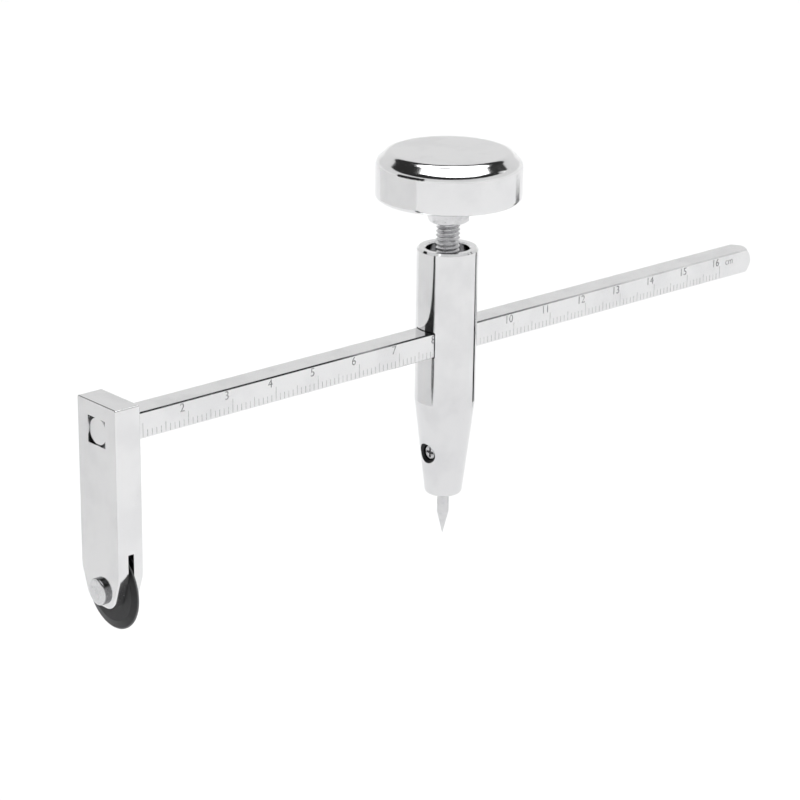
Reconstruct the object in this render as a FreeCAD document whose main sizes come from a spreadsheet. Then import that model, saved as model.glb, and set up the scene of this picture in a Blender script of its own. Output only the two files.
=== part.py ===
import FreeCAD, Part
import Sketcher
import os

# Beam compass with a rolling cutting wheel: a needle marks the centre, a square scale bar slides
# through the pillar above it, and a wheel on the bar's end cuts the circle.
# Frame: origin at the needle's tip, +Z up along the needle, +X along the bar away from the wheel.

DRIVING = {
    # scale bar
    "bar_side": 5.0,
    "bar_length": 167.5,
    "bar_edge": 0.25,
    "bar_end_diameter": 4.9,
    "bar_end_slope": 3.0,
    "bar_tail_slope": 1.4,
    "bar_play": 0.15,
    "bar_inset": 0.3,
    # wheel position along the bar, measured from the needle's axis
    "cut_radius": 79.7,
    # cutter head
    "head_width": 11.3,
    "head_thickness": 5.3,
    "head_rise": 5.3,
    "head_drop": 32.9,
    "flank_drop": 26.5,
    "nose_width": 7.0,
    "nose_round": 3.0,
    "flank_round": 6.0,
    "head_edge": 0.3,
    "slot_width": 1.2,
    "slot_drop": 22.0,
    "fixed_play": 0.02,
    # cutting wheel and its axle
    "wheel_diameter": 15.4,
    "wheel_width": 1.0,
    "wheel_bevel": 1.6,
    "wheel_edge": 0.12,
    "axle_drop": 30.0,
    "axle_diameter": 3.0,
    "axle_play": 0.05,
    "rivet_diameter": 5.0,
    "rivet_rise": 0.9,
    "rivet_round": 0.35,
    "tail_diameter": 4.2,
    "tail_rise": 0.5,
    # pillar
    "pillar_diameter": 11.8,
    "pillar_height": 50.0,
    "pillar_bevel": 0.4,
    "cross_height": 31.8,
    "cross_round": 0.4,
    "taper_height": 19.5,
    "tip_diameter": 7.2,
    "tip_round": 0.8,
    "recess_diameter": 8.4,
    "recess_depth": 4.0,
    "recess_bevel": 0.3,
    # needle
    "needle_diameter": 2.3,
    "needle_reach": 8.9,
    "needle_cone": 4.7,
    "needle_length": 24.0,
    "needle_travel": 4.0,
    "needle_play": 0.05,
    "needle_edge": 0.3,
    # needle's set screw
    "screw_diameter": 3.0,
    "screw_play": 0.05,
    "screw_length": 2.4,
    "screw_height": 9.0,
    "screw_gap": 0.1,
    "screw_edge": 0.25,
    "sink_diameter": 4.0,
    "sink_depth": 0.7,
    "drive_arm": 2.0,
    "drive_blade": 0.5,
    "drive_sink": 1.1,
    # clamp
    "stud_diameter": 4.6,
    "stud_play": 0.06,
    "stud_edge": 0.4,
    "stud_grip": 6.0,
    "pad_height": 1.5,
    "pad_gap": 0.05,
    "pad_edge": 0.3,
    "knob_diameter": 27.9,
    "knob_height": 9.2,
    "knob_flat": 23.4,
    "knob_slope": 2.1,
    "knob_round": 0.8,
    "knob_shoulder": 2.0,
    "knob_crown": 2.0,
    "knob_gap": 9.6,
    "nut_flats": 7.1,
    "nut_height": 4.45,
    "nut_gap": 0.05,
    "nut_chamfer": 0.45,
}

# Sizes that follow from the driving ones; each may use the rows above it.
DERIVED = {
    "bar_z": "needle_reach + cross_height",
    "bar_corner": "bar_side / sqrt(2)",
    "bar_hole": "bar_side + 2 * bar_play",
    "head_x": "-cut_radius - head_thickness / 2",
    "axle_z": "bar_z - axle_drop",
    "window_side": "bar_side + 2 * fixed_play",
    "nut_width": "nut_flats / sqrt(3) * 2",
    "pillar_top": "needle_reach + pillar_height",
    "knob_z": "pillar_top + knob_gap",
    "nut_z": "knob_z - nut_gap - nut_height",
    "pad_z": "bar_z + bar_side / 2 + pad_gap",
    "stud_z": "pad_z + pad_height",
    "stud_length": "knob_z + stud_grip - stud_z",
    "stud_hole": "stud_diameter + 2 * stud_play",
    "needle_hole": "needle_diameter + 2 * needle_play",
    "needle_bore": "needle_length - needle_reach + needle_travel + needle_hole / 2",
    "screw_hole": "screw_diameter + 2 * screw_play",
    "screw_z": "needle_reach + screw_height",
    "screw_tip": "needle_diameter / 2 + screw_gap",
}

doc = FreeCAD.newDocument("beam_compass")
sheet = doc.addObject("Spreadsheet::Sheet", "dims")
row = 0
for alias, number in DRIVING.items():
    row += 1
    sheet.set(f"A{row}", alias)
    sheet.set(f"B{row}", str(number))
    sheet.setAlias(f"B{row}", alias)
doc.recompute()
for alias, formula in DERIVED.items():
    row += 1
    sheet.set(f"A{row}", alias)
    sheet.set(f"B{row}", "=" + formula)
    sheet.setAlias(f"B{row}", alias)
    doc.recompute()

ALIASES = sorted([*DRIVING, *DERIVED], key=len, reverse=True)
TOLERANCE = 1e-4


def linked(formula):
    """The formula with every size written as a link to the sheet."""
    words = formula.replace("(", " ( ").replace(")", " ) ").replace("-", " - ").split()
    return " ".join(f"dims.{word}" if word in ALIASES else word for word in words)


def size(formula):
    """The formula's value at the sheet's present sizes."""
    return float(sheet.evalExpression(linked(formula)))


def new_body(label, x="0", z="0"):
    """A body named after its piece, standing at x, z."""
    body = doc.addObject("PartDesign::Body", label)
    body.Label = label
    body.setExpression("Placement.Base.x", linked(x))
    body.setExpression("Placement.Base.z", linked(z))
    doc.recompute()
    return body


def new_sketch(body, name, plane):
    """A sketch on one of the body's own origin planes."""
    sketch = body.newObject("Sketcher::SketchObject", f"{body.Name}_{name}")
    support = next(f for f in body.Origin.OriginFeatures if f.Role == plane)
    sketch.AttachmentSupport = (support, "")
    sketch.MapMode = "FlatFace"
    return sketch


def bind(sketch, name, formula):
    """Tie a named constraint of the sketch to the sheet."""
    sketch.setExpression(f"Constraints.{name}", linked(formula))


def outline(body, name, plane, corners):
    """A closed sketch of straight lines, each corner tied to a pair of formulas."""
    sketch = new_sketch(body, name, plane)
    spots = [FreeCAD.Vector(size(across), size(up), 0) for across, up in corners]
    count = len(spots)
    for i in range(count):
        sketch.addGeometry(Part.LineSegment(spots[i], spots[(i + 1) % count]), False)
    for i in range(count):
        sketch.addConstraint(Sketcher.Constraint("Coincident", i, 2, (i + 1) % count, 1))
    for i, (across, up) in enumerate(corners):
        for kind, letter, formula, value in (
            ("DistanceX", "x", across, spots[i].x),
            ("DistanceY", "y", up, spots[i].y),
        ):
            index = sketch.addConstraint(Sketcher.Constraint(kind, -1, 1, i, 1, value))
            sketch.renameConstraint(index, f"{letter}{i}")
            bind(sketch, f"{letter}{i}", formula)
    doc.recompute()
    return sketch


def rectangle(body, name, plane, low, high):
    """A rectangle between two opposite corners."""
    corners = [low, (high[0], low[1]), high, (low[0], high[1])]
    return outline(body, name, plane, corners)


def circle(body, name, plane, diameter, across="0", up="0"):
    """A circle of the given diameter."""
    sketch = new_sketch(body, name, plane)
    centre = FreeCAD.Vector(size(across), size(up), 0)
    sketch.addGeometry(Part.Circle(centre, FreeCAD.Vector(0, 0, 1), size(diameter) / 2), False)
    for kind, label, formula, value in (
        ("DistanceX", "across", across, centre.x),
        ("DistanceY", "up", up, centre.y),
    ):
        index = sketch.addConstraint(Sketcher.Constraint(kind, -1, 1, 0, 3, value))
        sketch.renameConstraint(index, label)
        bind(sketch, label, formula)
    index = sketch.addConstraint(Sketcher.Constraint("Diameter", 0, size(diameter)))
    sketch.renameConstraint(index, "round")
    bind(sketch, "round", diameter)
    doc.recompute()
    return sketch


def pad(body, sketch, length):
    """Extrude the sketch along its normal."""
    feature = body.newObject("PartDesign::Pad", f"{sketch.Name}_pad")
    feature.Profile = sketch
    feature.setExpression("Length", linked(length))
    doc.recompute()
    return feature


def turn(body, sketch, axis, kind="Revolution"):
    """Turn the sketch about its H_Axis or V_Axis: a Revolution adds, a Groove cuts."""
    before = body.Shape.Volume if kind == "Groove" else None
    feature = body.newObject(f"PartDesign::{kind}", f"{sketch.Name}_{kind.lower()}")
    feature.Profile = sketch
    feature.ReferenceAxis = (sketch, [axis])
    feature.Angle = 360
    doc.recompute()
    if before is not None and not body.Shape.Volume < before - TOLERANCE:
        raise ValueError(f"{feature.Name} cuts nothing")
    return feature


def pocket(body, sketch, depth=None, reverse=False, both_ways=False):
    """Cut the sketch into the body, through everything where no depth is given."""
    before = body.Shape.Volume
    feature = body.newObject("PartDesign::Pocket", f"{sketch.Name}_pocket")
    feature.Profile = sketch
    feature.Reversed = reverse
    feature.Midplane = both_ways
    if depth is None:
        feature.Type = "ThroughAll"
    else:
        feature.setExpression("Length", linked(depth))
    doc.recompute()
    if not body.Shape.Volume < before - TOLERANCE:
        raise ValueError(f"{feature.Name} cuts nothing")
    return feature


def soften(body, name, wanted, radius, kind="Fillet"):
    """Round or chamfer the edges of the body for which wanted(edge) holds."""
    base = body.Tip
    edges = [f"Edge{i}" for i, edge in enumerate(base.Shape.Edges, 1) if wanted(edge)]
    if not edges:
        raise ValueError(f"{body.Name} has no edge for {name}")
    feature = body.newObject(f"PartDesign::{kind}", f"{body.Name}_{name}")
    feature.Base = (base, edges)
    feature.setExpression("Radius" if kind == "Fillet" else "Size", linked(radius))
    doc.recompute()
    return feature


def near(value, target):
    return abs(value - target) < TOLERANCE


def ring_at(diameter, height, axis="z"):
    """A test for the round edge of that diameter at that place along the axis."""
    def test(edge):
        return (
            isinstance(edge.Curve, Part.Circle)
            and near(edge.Curve.Radius, size(diameter) / 2)
            and near(getattr(edge.Curve.Center, axis), size(height))
        )
    return test


def rod_profile(length, diameter, edge):
    """Half section of a rod along +V with both ends chamfered."""
    radius = f"{diameter} / 2"
    return [
        ("0", "0"),
        (f"{radius} - {edge}", "0"),
        (radius, edge),
        (radius, f"{length} - {edge}"),
        (f"{radius} - {edge}", length),
        ("0", length),
    ]


def make_scale_bar():
    body = new_body("scale_bar", x="head_x + bar_inset", z="bar_z")
    half, inner = "bar_side / 2", "bar_side / 2 - bar_edge"
    corners = [
        (inner, f"0 - {half}"), (half, f"0 - ({inner})"), (half, inner), (inner, half),
        (f"0 - ({inner})", half), (f"0 - {half}", inner),
        (f"0 - {half}", f"0 - ({inner})"), (f"0 - ({inner})", f"0 - {half}"),
    ]
    pad(body, outline(body, "section", "YZ_Plane", corners), "bar_length")
    for name, end, back in (
        ("front", "0", "bar_end_slope"),
        ("back", "bar_length", "bar_length - bar_tail_slope"),
    ):
        cone = outline(body, f"{name}_cone", "XZ_Plane", [
            (end, "bar_end_diameter / 2"), (end, "bar_side"), (back, "bar_side"), (back, "bar_corner"),
        ])
        turn(body, cone, "H_Axis", "Groove")
    return body


def make_cutter_head():
    body = new_body("cutter_head", x="head_x", z="bar_z")
    side, toe = "head_width / 2", "nose_width / 2"
    corners = [
        (side, "head_rise"), (f"0 - {side}", "head_rise"), (f"0 - {side}", "0 - flank_drop"),
        (f"0 - {toe}", "0 - head_drop"), (toe, "0 - head_drop"), (side, "0 - flank_drop"),
    ]
    pad(body, outline(body, "face", "YZ_Plane", corners), "head_thickness")

    def corner_at(half_width, height):
        def test(edge):
            first, last = edge.Vertexes[0].Point, edge.Vertexes[-1].Point
            return (
                near(first.y, last.y) and near(first.z, last.z)
                and near(abs(first.y), size(half_width)) and near(first.z, size(height))
            )
        return test

    soften(body, "nose", corner_at(toe, "0 - head_drop"), "nose_round")
    soften(body, "flank", corner_at(side, "0 - flank_drop"), "flank_round")

    def outer_edge(edge):
        ends = [vertex.Point.x for vertex in edge.Vertexes]
        flat = all(near(x, 0) for x in ends) or all(near(x, size("head_thickness")) for x in ends)
        return flat or corner_at(side, "head_rise")(edge)

    soften(body, "rim", outer_edge, "head_edge")
    reach = "window_side / 2"
    window = rectangle(body, "window", "YZ_Plane", (f"0 - {reach}", f"0 - {reach}"), (reach, reach))
    pocket(body, window, reverse=True)
    eye = circle(body, "eye", "YZ_Plane", "axle_diameter + 2 * fixed_play", up="0 - axle_drop")
    pocket(body, eye, reverse=True)
    ear = "(head_thickness - slot_width) / 2"
    slot = rectangle(
        body, "slot", "XZ_Plane", (ear, "0 - head_drop - head_edge"), (f"{ear} + slot_width", "0 - slot_drop")
    )
    pocket(body, slot, both_ways=True)
    return body


def make_cutting_wheel():
    body = new_body("cutting_wheel", x="0 - cut_radius", z="axle_z")
    half = "wheel_width / 2"
    bore, rim = "axle_diameter / 2 + axle_play", "wheel_diameter / 2"
    profile = outline(body, "section", "XZ_Plane", [
        (f"0 - {half}", bore), (half, bore), (half, f"{rim} - wheel_bevel"), ("wheel_edge / 2", rim),
        ("0 - wheel_edge / 2", rim), (f"0 - {half}", f"{rim} - wheel_bevel"),
    ])
    turn(body, profile, "H_Axis")
    return body


def make_wheel_axle():
    body = new_body("wheel_axle", x="head_x", z="axle_z")
    shank, tail = "axle_diameter / 2", "tail_diameter / 2"
    profile = outline(body, "section", "XZ_Plane", [
        ("0 - rivet_rise", "0"), ("0 - rivet_rise", "rivet_diameter / 2"), ("0", "rivet_diameter / 2"),
        ("0", shank), ("head_thickness", shank), ("head_thickness", tail),
        ("head_thickness + tail_rise / 2", tail), ("head_thickness + tail_rise", shank),
        ("head_thickness + tail_rise", "0"),
    ])
    turn(body, profile, "H_Axis")
    soften(body, "dome", ring_at("rivet_diameter", "0 - rivet_rise", "x"), "rivet_round")
    return body


def make_center_pillar():
    body = new_body("center_pillar", z="needle_reach")
    wall = "pillar_diameter / 2"
    profile = outline(body, "section", "XZ_Plane", [
        ("0", "0"), ("tip_diameter / 2", "0"), (wall, "taper_height"), (wall, "pillar_height - pillar_bevel"),
        (f"{wall} - pillar_bevel", "pillar_height"), ("0", "pillar_height"),
    ])
    turn(body, profile, "V_Axis")
    soften(body, "tip", ring_at("tip_diameter", "0"), "tip_round")
    mouth = "recess_diameter / 2"
    top_bore = outline(body, "top_bore", "XZ_Plane", [
        ("0", "pillar_height"), (f"{mouth} + recess_bevel", "pillar_height"),
        (mouth, "pillar_height - recess_bevel"), (mouth, "pillar_height - recess_depth"),
        ("stud_hole / 2", "pillar_height - recess_depth"), ("stud_hole / 2", "cross_height"),
        ("0", "cross_height"),
    ])
    turn(body, top_bore, "V_Axis", "Groove")
    needle_bore = outline(body, "needle_bore", "XZ_Plane", [
        ("0", "0"), ("needle_hole / 2", "0"), ("needle_hole / 2", "needle_bore - needle_hole / 2"),
        ("0", "needle_bore"),
    ])
    turn(body, needle_bore, "V_Axis", "Groove")
    reach = "bar_hole / 2"
    cross = rectangle(
        body, "cross_hole", "YZ_Plane",
        (f"0 - {reach}", f"cross_height - {reach}"), (reach, f"cross_height + {reach}"),
    )
    pocket(body, cross, both_ways=True)

    def cross_corner(edge):
        box = edge.BoundBox
        return (
            box.XLength > size("bar_hole / 2") and near(box.YLength, 0) and near(box.ZLength, 0)
            and near(abs(box.YMax), size(reach))
        )

    soften(body, "cross_corners", cross_corner, "cross_round")
    turn(body, screw_hole_section(body), "H_Axis", "Groove")
    return body


def screw_hole_section(body):
    """Half section of the set screw's hole with its sunk mouth, about its own level line."""
    wall, mouth = "screw_hole / 2", "sink_diameter / 2"
    face = "tip_diameter / 2 + (pillar_diameter - tip_diameter) / 2 * screw_height / taper_height"
    sketch = outline(body, "screw_hole", "XZ_Plane", [
        (f"0 - ({face}) - sink_depth", "0"), (f"0 - ({face}) - sink_depth", mouth),
        (f"0 - ({face}) + sink_depth / 2", mouth), (f"0 - ({face}) + sink_depth", wall),
        ("0", wall), ("0", "0"),
    ])
    sketch.setExpression("AttachmentOffset.Base.y", linked("screw_height"))
    doc.recompute()
    return sketch


def make_pressure_pad():
    body = new_body("pressure_pad", z="pad_z")
    profile = rod_profile("pad_height", "stud_diameter", "pad_edge")
    turn(body, outline(body, "section", "XZ_Plane", profile), "V_Axis")
    return body


def make_clamp_stud():
    body = new_body("clamp_stud", z="stud_z")
    profile = rod_profile("stud_length", "stud_diameter", "stud_edge")
    turn(body, outline(body, "section", "XZ_Plane", profile), "V_Axis")
    return body


def make_lock_nut():
    body = new_body("lock_nut", z="nut_z")
    flat, corner = "nut_flats / 2", "nut_width / 2"
    corners = [
        (corner, "0"), (f"{corner} / 2", flat), (f"0 - {corner} / 2", flat),
        (f"0 - {corner}", "0"), (f"0 - {corner} / 2", f"0 - {flat}"), (f"{corner} / 2", f"0 - {flat}"),
    ]
    pad(body, outline(body, "hexagon", "XY_Plane", corners), "nut_height")
    for name, end, back in (
        ("low", "0", "nut_chamfer"),
        ("high", "nut_height", "nut_height - nut_chamfer"),
    ):
        cone = outline(body, f"{name}_cone", "XZ_Plane", [
            (f"{flat}", end), (f"{corner} + nut_chamfer", end), (f"{corner} + nut_chamfer", back),
            (f"{corner} + nut_chamfer / 4", back),
        ])
        turn(body, cone, "V_Axis", "Groove")
    pocket(body, circle(body, "bore", "XY_Plane", "stud_diameter + 2 * fixed_play"), reverse=True)
    return body


def make_clamp_knob():
    body = new_body("clamp_knob", z="knob_z")
    rim = "knob_diameter / 2"
    grip = "stud_diameter / 2 + fixed_play"
    profile = outline(body, "section", "XZ_Plane", [
        (grip, "0"), (rim, "0"), (rim, "knob_height - knob_slope"), ("knob_flat / 2", "knob_height"),
        ("0", "knob_height"), ("0", "stud_grip + fixed_play"), (grip, "stud_grip + fixed_play"),
    ])
    turn(body, profile, "V_Axis")
    soften(body, "foot", ring_at("knob_diameter", "0"), "knob_round")
    soften(body, "shoulder", ring_at("knob_diameter", "knob_height - knob_slope"), "knob_shoulder")
    soften(body, "crown", ring_at("knob_flat", "knob_height"), "knob_crown")
    return body


def make_center_point():
    body = new_body("center_point")
    radius = "needle_diameter / 2"
    profile = outline(body, "section", "XZ_Plane", [
        ("0", "0"), (radius, "needle_cone"), (radius, "needle_length - needle_edge"),
        (f"{radius} - needle_edge", "needle_length"), ("0", "needle_length"),
    ])
    turn(body, profile, "V_Axis")
    return body


def make_point_screw():
    body = new_body("point_screw", x="0 - screw_tip - screw_length", z="screw_z")
    radius = "screw_diameter / 2"
    profile = outline(body, "section", "XZ_Plane", [
        ("0", "0"), ("0", f"{radius} - screw_edge"), ("screw_edge", radius),
        ("screw_length - screw_edge", radius), ("screw_length", f"{radius} - screw_edge"), ("screw_length", "0"),
    ])
    turn(body, profile, "H_Axis")
    long_side, short_side = "drive_arm / 2", "drive_blade / 2"
    for name, across, up in (("level_arm", long_side, short_side), ("upright_arm", short_side, long_side)):
        arm = rectangle(body, name, "YZ_Plane", (f"0 - {across}", f"0 - {up}"), (across, up))
        pocket(body, arm, depth="drive_sink", reverse=True)
    return body


PIECES = [
    make_scale_bar(),
    make_cutter_head(),
    make_cutting_wheel(),
    make_wheel_axle(),
    make_center_pillar(),
    make_pressure_pad(),
    make_clamp_stud(),
    make_lock_nut(),
    make_clamp_knob(),
    make_center_point(),
    make_point_screw(),
]

doc.recompute()
for thing in doc.Objects:
    if "Invalid" in thing.State or "Error" in thing.State:
        raise ValueError(f"{thing.Name} failed: {thing.State}")
for piece in PIECES:
    if piece.Shape.isNull() or not piece.Shape.isValid() or len(piece.Shape.Solids) != 1:
        raise ValueError(f"{piece.Label} isn't one valid solid")

os.makedirs("parts", exist_ok=True)
for piece in PIECES:
    piece.Shape.exportStep(f"parts/{piece.Label}.step")
    box = piece.Shape.BoundBox
    print(f"{piece.Label:14s} {piece.Shape.Volume:9.2f} mm3  x {box.XMin:.2f}..{box.XMax:.2f}"
          f"  y {box.YMin:.2f}..{box.YMax:.2f}  z {box.ZMin:.2f}..{box.ZMax:.2f}")
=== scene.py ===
import math

import bmesh
import bpy
from mathutils import Matrix, Vector


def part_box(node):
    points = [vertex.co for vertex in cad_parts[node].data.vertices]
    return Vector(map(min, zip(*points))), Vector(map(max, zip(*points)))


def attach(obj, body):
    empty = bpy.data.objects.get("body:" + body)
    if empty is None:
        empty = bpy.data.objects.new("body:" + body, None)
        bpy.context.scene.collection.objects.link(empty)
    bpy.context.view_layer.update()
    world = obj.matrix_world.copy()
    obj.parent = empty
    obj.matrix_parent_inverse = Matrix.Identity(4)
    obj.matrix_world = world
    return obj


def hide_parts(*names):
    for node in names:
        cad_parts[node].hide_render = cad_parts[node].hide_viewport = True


# Beam compass with a rolling cutting wheel: plated steel, engraved scale, black wheel.
# Metres, in the frame of the solids: needle tip at the origin, +Z up, +X along the bar.

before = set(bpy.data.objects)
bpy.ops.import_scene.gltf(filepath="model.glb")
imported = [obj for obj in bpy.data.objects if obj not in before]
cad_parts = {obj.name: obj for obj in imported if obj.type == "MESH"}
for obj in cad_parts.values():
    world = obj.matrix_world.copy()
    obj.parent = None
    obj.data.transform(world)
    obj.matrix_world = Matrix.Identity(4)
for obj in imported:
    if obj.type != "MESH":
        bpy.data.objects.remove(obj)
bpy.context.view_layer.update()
MM = 0.001


def centre(node):
    """The middle of a solid's box."""
    low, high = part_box(node)
    return (low + high) / 2


def add_object(name, data):
    """A new object in the scene, at the origin."""
    piece = bpy.data.objects.new(name, data)
    bpy.context.scene.collection.objects.link(piece)
    return piece


# ---------------------------------------------------------------- shader maths

class Socket:
    """An output socket that adds Math nodes when it is used in an expression."""

    def __init__(self, shader, out):
        self.shader = shader
        self.out = out

    def _math(self, operation, *values):
        return self.shader.add("ShaderNodeMath", {"operation": operation}, dict(enumerate(values)))

    def __add__(self, other):
        return self._math("ADD", self, other)

    def __sub__(self, other):
        return self._math("SUBTRACT", self, other)

    def __rsub__(self, other):
        return self._math("SUBTRACT", other, self)

    def __mul__(self, other):
        return self._math("MULTIPLY", self, other)

    def smaller(self, other):
        return self._math("LESS_THAN", self, other)

    def sine(self):
        return self._math("SINE", self)

    def root(self):
        return self._math("SQRT", self)

    def ramp(self, low, high):
        """0 below low, 1 above high, smooth between."""
        settings = {"interpolation_type": "SMOOTHSTEP"}
        values = {"Value": self, "From Min": low, "From Max": high}
        return self.shader.add("ShaderNodeMapRange", settings, values)


class Shader:
    """The node tree of a material or of the world, under construction."""

    def __init__(self, owner):
        self.owner = owner
        owner.use_nodes = True
        self.tree = owner.node_tree
        self.tree.nodes.clear()

    @classmethod
    def material(cls, name):
        return cls(bpy.data.materials.new(name))

    def add(self, kind, settings=None, values=None, out=0):
        node = self.tree.nodes.new(kind)
        for key, value in (settings or {}).items():
            setattr(node, key, value)
        for key, value in (values or {}).items():
            self.feed(node.inputs[key], value)
        return Socket(self, node.outputs[out]) if len(node.outputs) else None

    def feed(self, socket, value):
        if isinstance(value, Socket):
            self.tree.links.new(value.out, socket)
        else:
            socket.default_value = value

    def position(self, kind="Object"):
        """The point on the piece in metres, or the world's direction, whole and as x, y and z."""
        point = self.add("ShaderNodeTexCoord", out=kind)
        node = self.add("ShaderNodeSeparateXYZ", values={0: point}).out.node
        return point, [Socket(self, node.outputs[i]) for i in range(3)]

    def stretched(self, point, scale):
        """The point with each axis scaled."""
        return self.add("ShaderNodeVectorMath", {"operation": "MULTIPLY"}, {0: point, 1: scale})

    def noise(self, point, scale, detail=3.0, rough=0.5):
        """Noise with about scale marks per metre."""
        values = {"Vector": point, "Scale": scale, "Detail": detail, "Roughness": rough}
        return self.add("ShaderNodeTexNoise", {"noise_dimensions": "3D"}, values)

    def blend(self, factor, first, second):
        """A colour between two others."""
        node = self.tree.nodes.new("ShaderNodeMix")
        node.data_type = "RGBA"
        self.feed(node.inputs["Factor"], factor)
        for key, colour in (("A", first), ("B", second)):
            socket = next(s for s in node.inputs if s.name == key and s.type == "RGBA")
            self.feed(socket, colour if isinstance(colour, Socket) else (*colour, 1.0))
        return Socket(self, next(s for s in node.outputs if s.type == "RGBA"))

    def bump(self, height, strength, distance):
        values = {"Strength": strength, "Distance": distance, "Height": height}
        return self.add("ShaderNodeBump", {}, values)

    def finish(self, **values):
        """Principled surface from the named values."""
        inputs = {key.replace("_", " "): value for key, value in values.items()}
        surface = self.add("ShaderNodeBsdfPrincipled", {}, inputs)
        self.add("ShaderNodeOutputMaterial", {}, {"Surface": surface})
        return self.owner


# -------------------------------------------------------------------- materials

# Painted shade on the wall of the screw hole.
HOLE_SHADE_COLOUR = (0.035, 0.035, 0.036)
# Painted shade on the rivet head's side wall.
RIVET_SIDE_SHADE = (0.1, 0.1, 0.105)
# Fade into the painted shade below a height.
SHADE_FADE = 8 * MM


def off_axis(parts, middle):
    """Distance from the line along X through the middle."""
    across, up = parts[1] - middle.y, parts[2] - middle.z
    return (across * across + up * up).root()


def plated(name, bright=(0.75, 0.75, 0.755), dull=(0.66, 0.66, 0.67), gloss=0.07, ripple=0.25,
           marks=(900.0, 900.0, 900.0), grain=(1, 1, 1), painted_shade_below=None, shaded_hole=None):
    """Bright plating: fine polishing lines, faint ripples, small dull specks and worn patches.

    Below a given height the colour is painted duller all over, as painted shade on the lower part.
    The wall of a given hole, its middle and its radius, that runs in from the -X side, is painted
    dark as painted shade in the hole, and made rougher.
    """
    shader = Shader.material(name)
    point, parts = shader.position()
    x, _, z = parts
    lines = shader.noise(shader.stretched(point, marks), 6.0, 4.0, 0.6)
    patches = shader.noise(point, 120.0, 3.0, 0.55).ramp(0.42, 0.68)
    specks = shader.noise(point, 2600.0, 1.0).ramp(0.72, 0.8)
    waves = shader.noise(shader.stretched(point, grain), 90.0, 2.0, 0.4)
    spots_and_shade = patches * 0.55 + specks * 0.4
    # Painted shade: below the given height the colour is pulled towards dull, darker towards the bottom.
    if painted_shade_below is not None:
        spots_and_shade = (1.0 - z.ramp(painted_shade_below - SHADE_FADE, painted_shade_below + SHADE_FADE)) * 0.6 + spots_and_shade
    colour = shader.blend(spots_and_shade, bright, dull)
    roughness = lines * 0.06 + patches * 0.05 + specks * 0.2 + gloss
    height = lines * 0.05 + waves * ripple
    # Painted shade: the -X wall of the hole is painted near black, and made rougher.
    if shaded_hole is not None:
        middle, radius = shaded_hole
        hole_shade = off_axis(parts, middle).smaller(radius) * x.smaller(0.0)
        colour = shader.blend(hole_shade, colour, HOLE_SHADE_COLOUR)
        roughness = hole_shade * 0.3 + roughness
    return shader.finish(
        Base_Color=colour, Metallic=1.0, Roughness=roughness,
        Normal=shader.bump(height, 0.35, 0.00012),
    )


def turned(name, colour, dull, gloss, pitch, axis=2, depth=0.3, shaded_side=None):
    """Turned steel: fine tool rings across the given axis, with small stains.

    The side wall beyond the given middle and radius, of a piece that lies along X, is painted darker as
    painted shade.
    """
    shader = Shader.material(name)
    point, parts = shader.position()
    phase = parts[axis] * (2 * math.pi / pitch) + shader.noise(point, 400.0) * 2.0
    rings = phase.sine() * 0.5 + 0.5
    stains = shader.noise(point, 700.0, 4.0, 0.6).ramp(0.48, 0.7)
    grains = shader.noise(point, 3500.0, 2.0)
    shade = shader.blend(stains * 0.6 + grains * 0.2, colour, dull)
    # Painted shade: the side wall past the radius is painted darker.
    if shaded_side is not None:
        middle, radius = shaded_side
        side = off_axis(parts, middle).ramp(radius - 0.06 * MM, radius)
        shade = shader.blend(side * 0.75, shade, RIVET_SIDE_SHADE)
    return shader.finish(
        Base_Color=shade,
        Metallic=1.0,
        Roughness=rings * 0.08 + stains * 0.12 + gloss,
        Normal=shader.bump(rings * depth + grains * 0.2, 0.4, 0.00004),
    )


def black_steel(name):
    """Black hardened wheel: dark body, rolled scratches round the axle and a ground bright edge."""
    shader = Shader.material(name)
    point, parts = shader.position()
    hub = centre("cutting_wheel")
    low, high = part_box("cutting_wheel")
    rim = (high.z - low.z) / 2
    radius = off_axis(parts, hub)
    across = parts[1] - hub.y
    wound = shader.add("ShaderNodeCombineXYZ", values={0: radius * 9000.0, 1: across * 250.0})
    rings = shader.noise(wound, 1.0)
    mottle = shader.noise(point, 900.0, 4.0, 0.6)
    edge = radius.ramp(rim - 0.35 * MM, rim - 0.1 * MM)
    body = shader.blend(mottle, (0.009, 0.009, 0.01), (0.032, 0.032, 0.034))
    return shader.finish(
        Base_Color=shader.blend(edge * 0.35, body, (0.32, 0.32, 0.33)),
        Metallic=0.55,
        Roughness=rings * 0.2 + mottle * 0.12 + 0.26,
        Normal=shader.bump(rings * 0.6 + mottle * 0.3, 0.35, 0.00004),
    )


def ink(name, full, thin):
    """Etched fill of the scale's lines and numbers, paler where it is thin."""
    shader = Shader.material(name)
    point, _ = shader.position()
    worn = shader.noise(point, 1400.0, 3.0, 0.6).ramp(0.4, 0.75)
    return shader.finish(
        Base_Color=shader.blend(worn, (full,) * 3, (thin,) * 3),
        Metallic=0.6,
        Roughness=worn * 0.2 + 0.35,
    )


def give(node, material):
    """Put the material on every slot of a solid of the frame."""
    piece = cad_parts[node]
    piece.data.materials.clear()
    piece.data.materials.append(material)


# ------------------------------------------------------------- geometry nodes

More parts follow.
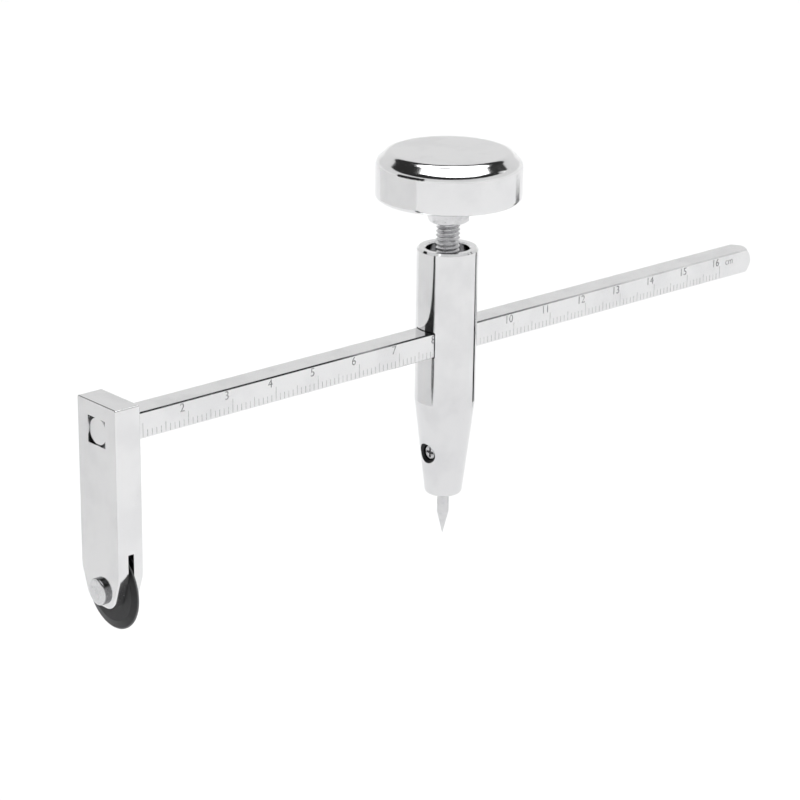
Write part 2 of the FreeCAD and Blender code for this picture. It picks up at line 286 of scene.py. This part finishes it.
class Grower:
    """A Geometry Nodes tree with named inputs, put on an empty mesh and baked to a plain one."""

    def __init__(self, name):
        self.tree = bpy.data.node_groups.new(name, "GeometryNodeTree")
        self.tree.interface.new_socket("Geometry", in_out="OUTPUT", socket_type="NodeSocketGeometry")
        self.values = {}
        self.entry = self.tree.nodes.new("NodeGroupInput")

    def want(self, name, value, kind="NodeSocketFloat"):
        """A named input and the value that this piece gives it."""
        item = self.tree.interface.new_socket(name, in_out="INPUT", socket_type=kind)
        self.values[item.identifier] = value
        return self.entry.outputs[name]

    def add(self, kind, settings=None, values=None, out=0):
        node = self.tree.nodes.new(kind)
        for key, value in (settings or {}).items():
            setattr(node, key, value)
        for key, value in (values or {}).items():
            if isinstance(value, bpy.types.NodeSocket):
                self.tree.links.new(value, node.inputs[key])
            else:
                node.inputs[key].default_value = value
        return node.outputs[out]

    def maths(self, operation, *values):
        return self.add("ShaderNodeMath", {"operation": operation}, dict(enumerate(values)))

    def bake(self, piece_name, geometry, material):
        """Realize, set the material, evaluate and keep the result as a plain mesh object."""
        real = self.add("GeometryNodeRealizeInstances", values={0: geometry})
        shown = self.add("GeometryNodeSetMaterial", values={"Geometry": real, "Material": material})
        exit_node = self.tree.nodes.new("NodeGroupOutput")
        self.tree.links.new(shown, exit_node.inputs[0])
        seed_name = piece_name + "_seed"
        seed_piece = add_object(seed_name, bpy.data.meshes.new(seed_name))
        modifier = seed_piece.modifiers.new("grow", "NODES")
        modifier.node_group = self.tree
        for identifier, value in self.values.items():
            modifier[identifier] = value
        bpy.context.view_layer.update()
        graph = bpy.context.evaluated_depsgraph_get()
        mesh = bpy.data.meshes.new_from_object(seed_piece.evaluated_get(graph))
        seed_piece.modifiers.clear()
        bpy.data.objects.remove(seed_piece)
        mesh.name = piece_name
        piece = add_object(piece_name, mesh)
        if not mesh.materials:
            mesh.materials.append(material)
        return piece


THREAD_PITCH = 0.8 * MM
TOOTH_DEPTH = 0.33 * MM
BARE_END = 0.9 * MM


def threaded_stud(material):
    """The clamp's stud: a core and a screw ridge that winds up it to the knob's foot."""
    low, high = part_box("clamp_stud")
    threaded = high.z - low.z - 2 * BARE_END
    grow = Grower("clamp_thread_tree")
    crest = grow.want("Crest radius", (high.x - low.x) / 2)
    tooth = grow.want("Tooth depth", TOOTH_DEPTH)
    foot = grow.want("Foot", low.z)
    tall = grow.want("Height", high.z - low.z)
    thread_foot = grow.want("Thread foot", low.z + BARE_END)
    thread_tall = grow.want("Thread height", threaded)
    turns = grow.want("Turns", threaded / THREAD_PITCH)
    root = grow.maths("SUBTRACT", crest, tooth)
    helix = grow.add("GeometryNodeCurveSpiral", values={
        "Resolution": 40, "Rotations": turns, "Start Radius": root, "End Radius": root,
        "Height": thread_tall, "Reverse": True,
    })
    level = grow.add("GeometryNodeSetCurveNormal", {"mode": "Z_UP"}, {"Curve": helix})
    section = grow.add("GeometryNodeCurvePrimitiveCircle", {"mode": "RADIUS"},
                       {"Resolution": 4, "Radius": tooth})
    ridge = grow.add("GeometryNodeCurveToMesh", values={
        "Curve": level, "Profile Curve": section, "Fill Caps": True,
    })
    flat = grow.add("GeometryNodeSetShadeSmooth", values={"Geometry": ridge, "Shade Smooth": False})
    ridge_spot = grow.add("ShaderNodeCombineXYZ", values={"Z": thread_foot})
    placed = grow.add("GeometryNodeTransform", values={"Geometry": flat, "Translation": ridge_spot})
    core = grow.add("GeometryNodeMeshCylinder", values={"Vertices": 64, "Radius": root, "Depth": tall})
    middle = grow.maths("ADD", foot, grow.maths("MULTIPLY", tall, 0.5))
    core_spot = grow.add("ShaderNodeCombineXYZ", values={"Z": middle})
    standing = grow.add("GeometryNodeTransform", values={"Geometry": core, "Translation": core_spot})
    both = grow.tree.nodes.new("GeometryNodeJoinGeometry")
    grow.tree.links.new(standing, both.inputs[0])
    grow.tree.links.new(placed, both.inputs[0])
    return grow.bake("threaded_stud", both.outputs[0], material)


# ------------------------------------------------------------------- the scale

SCALE_START, SCALE_END = 9, 160
LINE_DEEP = 0.012 * MM
LINE_SHORT = 1.25 * MM
LINE_WIDTH = 0.11 * MM
FIVE_MORE, TEN_MORE = 0.45, 0.65
NUMBER_HEIGHT = 2.3 * MM
NUMBER_RISE = 1.25 * MM
NUMBER_LEAD = 1.35
UNIT_GAP = 2.9
BAR_LOW, BAR_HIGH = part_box("scale_bar")
FACE_Y = BAR_LOW.y
LINE_FOOT = BAR_LOW.z + 0.28 * MM
SCALE_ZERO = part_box("cutter_head")[0].x - 1.9 * MM


def scale_lines(material):
    """Every millimetre line of the scale: short, with longer fives and tens."""
    grow = Grower("scale_lines_tree")
    first = grow.want("First", SCALE_START, "NodeSocketInt")
    count = grow.want("Count", SCALE_END - SCALE_START + 1, "NodeSocketInt")
    step = grow.want("Step", MM)
    zero = grow.want("Zero", SCALE_ZERO)
    short = grow.want("Short", LINE_SHORT)
    width = grow.want("Width", LINE_WIDTH)
    foot = grow.want("Foot", LINE_FOOT)
    index = grow.maths("ADD", grow.add("GeometryNodeInputIndex"), first)
    along = grow.maths("ADD", grow.maths("MULTIPLY", index, step), zero)
    five = grow.maths("COMPARE", grow.maths("FLOORED_MODULO", index, 5.0), 0.0, 0.1)
    ten = grow.maths("COMPARE", grow.maths("FLOORED_MODULO", index, 10.0), 0.0, 0.1)
    stretch = grow.maths("ADD", grow.maths("ADD", 1.0, grow.maths("MULTIPLY", five, FIVE_MORE)),
                         grow.maths("MULTIPLY", ten, TEN_MORE))
    points = grow.add("GeometryNodePoints", values={"Count": count})
    spot = grow.add("ShaderNodeCombineXYZ", values={"X": along, "Y": FACE_Y, "Z": foot})
    placed = grow.add("GeometryNodeSetPosition", values={"Geometry": points, "Position": spot})
    box_size = grow.add("ShaderNodeCombineXYZ", values={"X": width, "Y": 2 * LINE_DEEP, "Z": short})
    block = grow.add("GeometryNodeMeshCube", values={"Size": box_size})
    half = grow.add("ShaderNodeCombineXYZ", values={"Z": grow.maths("MULTIPLY", short, 0.5)})
    standing = grow.add("GeometryNodeTransform", values={"Geometry": block, "Translation": half})
    tall = grow.add("ShaderNodeCombineXYZ", values={"X": 1.0, "Y": 1.0, "Z": stretch})
    lines = grow.add("GeometryNodeInstanceOnPoints",
                     values={"Points": placed, "Instance": standing, "Scale": tall})
    return grow.bake("scale_lines", lines, material)


def text_piece(name, words, height, spot, material):
    """Raised lettering on the bar's near face, its middle at spot."""
    curve = bpy.data.curves.new(name, "FONT")
    curve.body = words
    curve.size = height
    curve.extrude = LINE_DEEP
    curve.align_x = "CENTER"
    curve.align_y = "CENTER"
    curve.resolution_u = 4
    piece = add_object(name + "_text", curve)
    bpy.context.view_layer.update()
    graph = bpy.context.evaluated_depsgraph_get()
    mesh = bpy.data.meshes.new_from_object(piece.evaluated_get(graph))
    bpy.data.objects.remove(piece)
    mesh.transform(Matrix.Translation(spot) @ Matrix.Rotation(math.pi / 2, 4, "X"))
    mesh.materials.clear()
    mesh.materials.append(material)
    return mesh


def join_meshes(name, meshes, material):
    """One object from several meshes."""
    work = bmesh.new()
    for mesh in meshes:
        work.from_mesh(mesh)
    bmesh.ops.remove_doubles(work, verts=work.verts, dist=1e-7)
    whole = bpy.data.meshes.new(name)
    work.to_mesh(whole)
    work.free()
    for mesh in meshes:
        bpy.data.meshes.remove(mesh)
    whole.materials.append(material)
    return add_object(name, whole)


def scale_numbers(material):
    """The centimetre numbers, each just before its line, and the unit after the last."""
    level = (BAR_LOW.z + BAR_HIGH.z) / 2 + NUMBER_RISE
    meshes = []
    for number in range(1, SCALE_END // 10 + 1):
        spot = Vector((SCALE_ZERO + (number * 10 - NUMBER_LEAD) * MM, FACE_Y, level))
        meshes.append(text_piece(f"number_{number}", str(number), NUMBER_HEIGHT, spot, material))
    spot = Vector((SCALE_ZERO + (SCALE_END + UNIT_GAP) * MM, FACE_Y, level - 0.3 * MM))
    meshes.append(text_piece("unit", "cm", NUMBER_HEIGHT * 0.9, spot, material))
    return join_meshes("scale_numbers", meshes, material)


# ------------------------------------------------------------------- the pieces

# The pillar is painted duller below this height: painted shade.
PAINTED_SHADE_BELOW = 34 * MM
# The screw hole; its -X wall is painted dark as painted shade.
SCREW_HOLE = (centre("point_screw"), 2.03 * MM)
# The rivet head; its side wall past this radius is painted darker as painted shade.
RIVET_HEAD = (centre("wheel_axle"), 2.46 * MM)

give("scale_bar", plated("bar_plating", gloss=0.08, grain=(0.15, 1, 1), marks=(60.0, 1400.0, 1400.0)))
give("cutter_head", plated("head_plating", gloss=0.09, grain=(1, 1, 0.3), marks=(1400.0, 1400.0, 90.0)))
give("center_pillar", plated(
    "pillar_plating", bright=(0.74, 0.74, 0.745), dull=(0.64, 0.64, 0.65), gloss=0.03, ripple=0.12,
    marks=(60.0, 60.0, 2600.0), painted_shade_below=PAINTED_SHADE_BELOW, shaded_hole=SCREW_HOLE,
))
give("clamp_knob", plated("knob_plating", gloss=0.06, ripple=0.15, marks=(160.0, 160.0, 2200.0)))
give("cutting_wheel", black_steel("black_steel"))
give("wheel_axle", turned(
    "rivet_steel", (0.65, 0.65, 0.66), (0.58, 0.58, 0.59), 0.16, 0.25 * MM, axis=0, depth=0.12,
    shaded_side=RIVET_HEAD,
))
give("lock_nut", turned("nut_steel", (0.68, 0.68, 0.69), (0.55, 0.55, 0.56), 0.14, 0.3 * MM))
give("center_point", turned("needle_steel", (0.64, 0.64, 0.65), (0.52, 0.52, 0.53), 0.24, 0.14 * MM))
give("point_screw", turned("screw_steel", (0.62, 0.62, 0.63), (0.35, 0.35, 0.36), 0.24, 0.3 * MM, axis=0))
give("pressure_pad", turned("pad_brass", (0.78, 0.6, 0.3), (0.5, 0.36, 0.16), 0.26, 0.2 * MM))
stud = threaded_stud(turned("stud_steel", (0.62, 0.62, 0.63), (0.36, 0.36, 0.37), 0.2, 0.1 * MM))
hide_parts("clamp_stud")
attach(stud, "clamp")

lines = scale_lines(ink("line_ink", 0.34, 0.6))
numbers = scale_numbers(ink("number_ink", 0.2, 0.5))
for piece in (lines, numbers):
    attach(piece, "arm")

# ------------------------------------------------------------- floor and light

FLOOR_LEVEL = -0.25
FLOOR_REACH = 6.0

# The light tent, seen from the middle: its strengths, and the way to the gap in its roof.
PANEL_LIGHT, PANEL_DROP = 1.04, 0.18
SEAM_LIGHT = 0.03
ROOF_LIGHT, ROOF_TILT = 3.3, 0.1
MIDDLE_DROP = 2.45
GAP_LIGHT = 0.9
GAP_WAY = (0.745, -0.27, 0.61)

KEY_SPOT = (0.25, -0.35, 1.6)
KEY_SIDE = 0.8
KEY_POWER = 3.0

# The cards: name, near and far end as x and y, foot, top, shade.
BLACK, PALE_GREY = 0.008, 0.84
CARDS = (
    ("low_flag", (0.6, -0.05), (0.6, 0.11), -0.24, -0.09, BLACK),
    ("high_flag", (-0.5, -0.08), (-0.5, 0.42), 0.09, 0.32, BLACK),
    ("grey_flag", (-0.79, 0.05), (-0.05, 0.9), FLOOR_LEVEL, 0.12, PALE_GREY),
)

LENS, SENSOR = 121.0, 36.0
SIGHT_LIMIT = 20.0
CAMERA_SPOT = (-0.3358, -0.3597, 0.20245)
CAMERA_HEADING, CAMERA_DIP, CAMERA_ROLL = -42.02, 19.55, 0.77


def sheet(name, corners, material):
    """One flat face in the scene."""
    mesh = bpy.data.meshes.new(name)
    mesh.from_pydata(corners, [], [tuple(range(len(corners)))])
    mesh.materials.append(material)
    return add_object(name, mesh)


def backdrop():
    """Plain pale floor, well below the wheel."""
    shader = Shader.material("pale_floor")
    point, _ = shader.position()
    cloud = shader.noise(point, 3.0, 2.0)
    material = shader.finish(
        Base_Color=shader.blend(cloud, (0.93, 0.93, 0.935), (0.96, 0.96, 0.96)),
        Metallic=0.0, Roughness=0.9,
    )
    sides = ((-1, -1), (1, -1), (1, 1), (-1, 1))
    corners = [(x * FLOOR_REACH, y * FLOOR_REACH, FLOOR_LEVEL) for x, y in sides]
    floor = sheet("floor", corners, material)


def studio_world():
    """Light tent: white roof round a softer middle, dark seam, and panels at the sides."""
    world = bpy.data.worlds.new("studio")
    bpy.context.scene.world = world
    shader = Shader(world)
    _, (x, y, z) = shader.position("Generated")
    side_panels = PANEL_LIGHT - z.ramp(0.1, 0.2) * PANEL_DROP
    seam = z.ramp(0.55, 0.58)
    roof = (z + x * ROOF_TILT).ramp(0.85, 0.88)
    middle = z.ramp(0.976, 0.984)
    gap = (x * GAP_WAY[0] + y * GAP_WAY[1] + z * GAP_WAY[2]).ramp(0.9945, 0.9965)
    walls = side_panels * (1 - seam) + seam * SEAM_LIGHT
    light = walls + roof * ROOF_LIGHT - middle * MIDDLE_DROP + gap * GAP_LIGHT
    values = {"Color": (1.0, 1.0, 1.0, 1.0), "Strength": light}
    background = shader.add("ShaderNodeBackground", {}, values)
    shader.add("ShaderNodeOutputWorld", {}, {"Surface": background})


def flag(name, near, far, foot, top, shade):
    """An upright card that only the plating mirrors."""
    shader = Shader.material(name + "_card")
    point, _ = shader.position()
    material = shader.finish(
        Base_Color=shader.blend(shader.noise(point, 5.0), (shade,) * 3, (shade * 1.1,) * 3),
        Metallic=0.0, Roughness=1.0,
    )
    corners = [(*near, foot), (*far, foot), (*far, top), (*near, top)]
    card = sheet(name, corners, material)
    card.visible_camera = False
    card.visible_diffuse = False
    card.visible_shadow = False


def key_light():
    """A soft lamp high above, aimed at the needle's tip."""
    lamp = bpy.data.lights.new("key", "AREA")
    lamp.shape = "SQUARE"
    lamp.size = KEY_SIDE
    lamp.energy = KEY_POWER
    piece = add_object("key", lamp)
    piece.location = KEY_SPOT
    piece.rotation_euler = (-Vector(KEY_SPOT)).to_track_quat("-Z", "Y").to_euler()


def camera():
    """Long lens, above and in front of the wheel's end of the bar."""
    lens = bpy.data.cameras.new("camera")
    lens.lens = LENS
    lens.sensor_width = SENSOR
    lens.clip_end = SIGHT_LIMIT
    piece = add_object("camera", lens)
    turn = Matrix.Rotation(math.radians(CAMERA_HEADING), 4, "Z")
    tilt = Matrix.Rotation(math.radians(90.0 - CAMERA_DIP), 4, "X")
    roll = Matrix.Rotation(math.radians(CAMERA_ROLL), 4, "Z")
    piece.matrix_world = Matrix.Translation(CAMERA_SPOT) @ turn @ tilt @ roll
    bpy.context.scene.camera = piece


backdrop()
studio_world()
for card in CARDS:
    flag(*card)
key_light()
camera()
bpy.context.scene.view_settings.view_transform = "Standard"
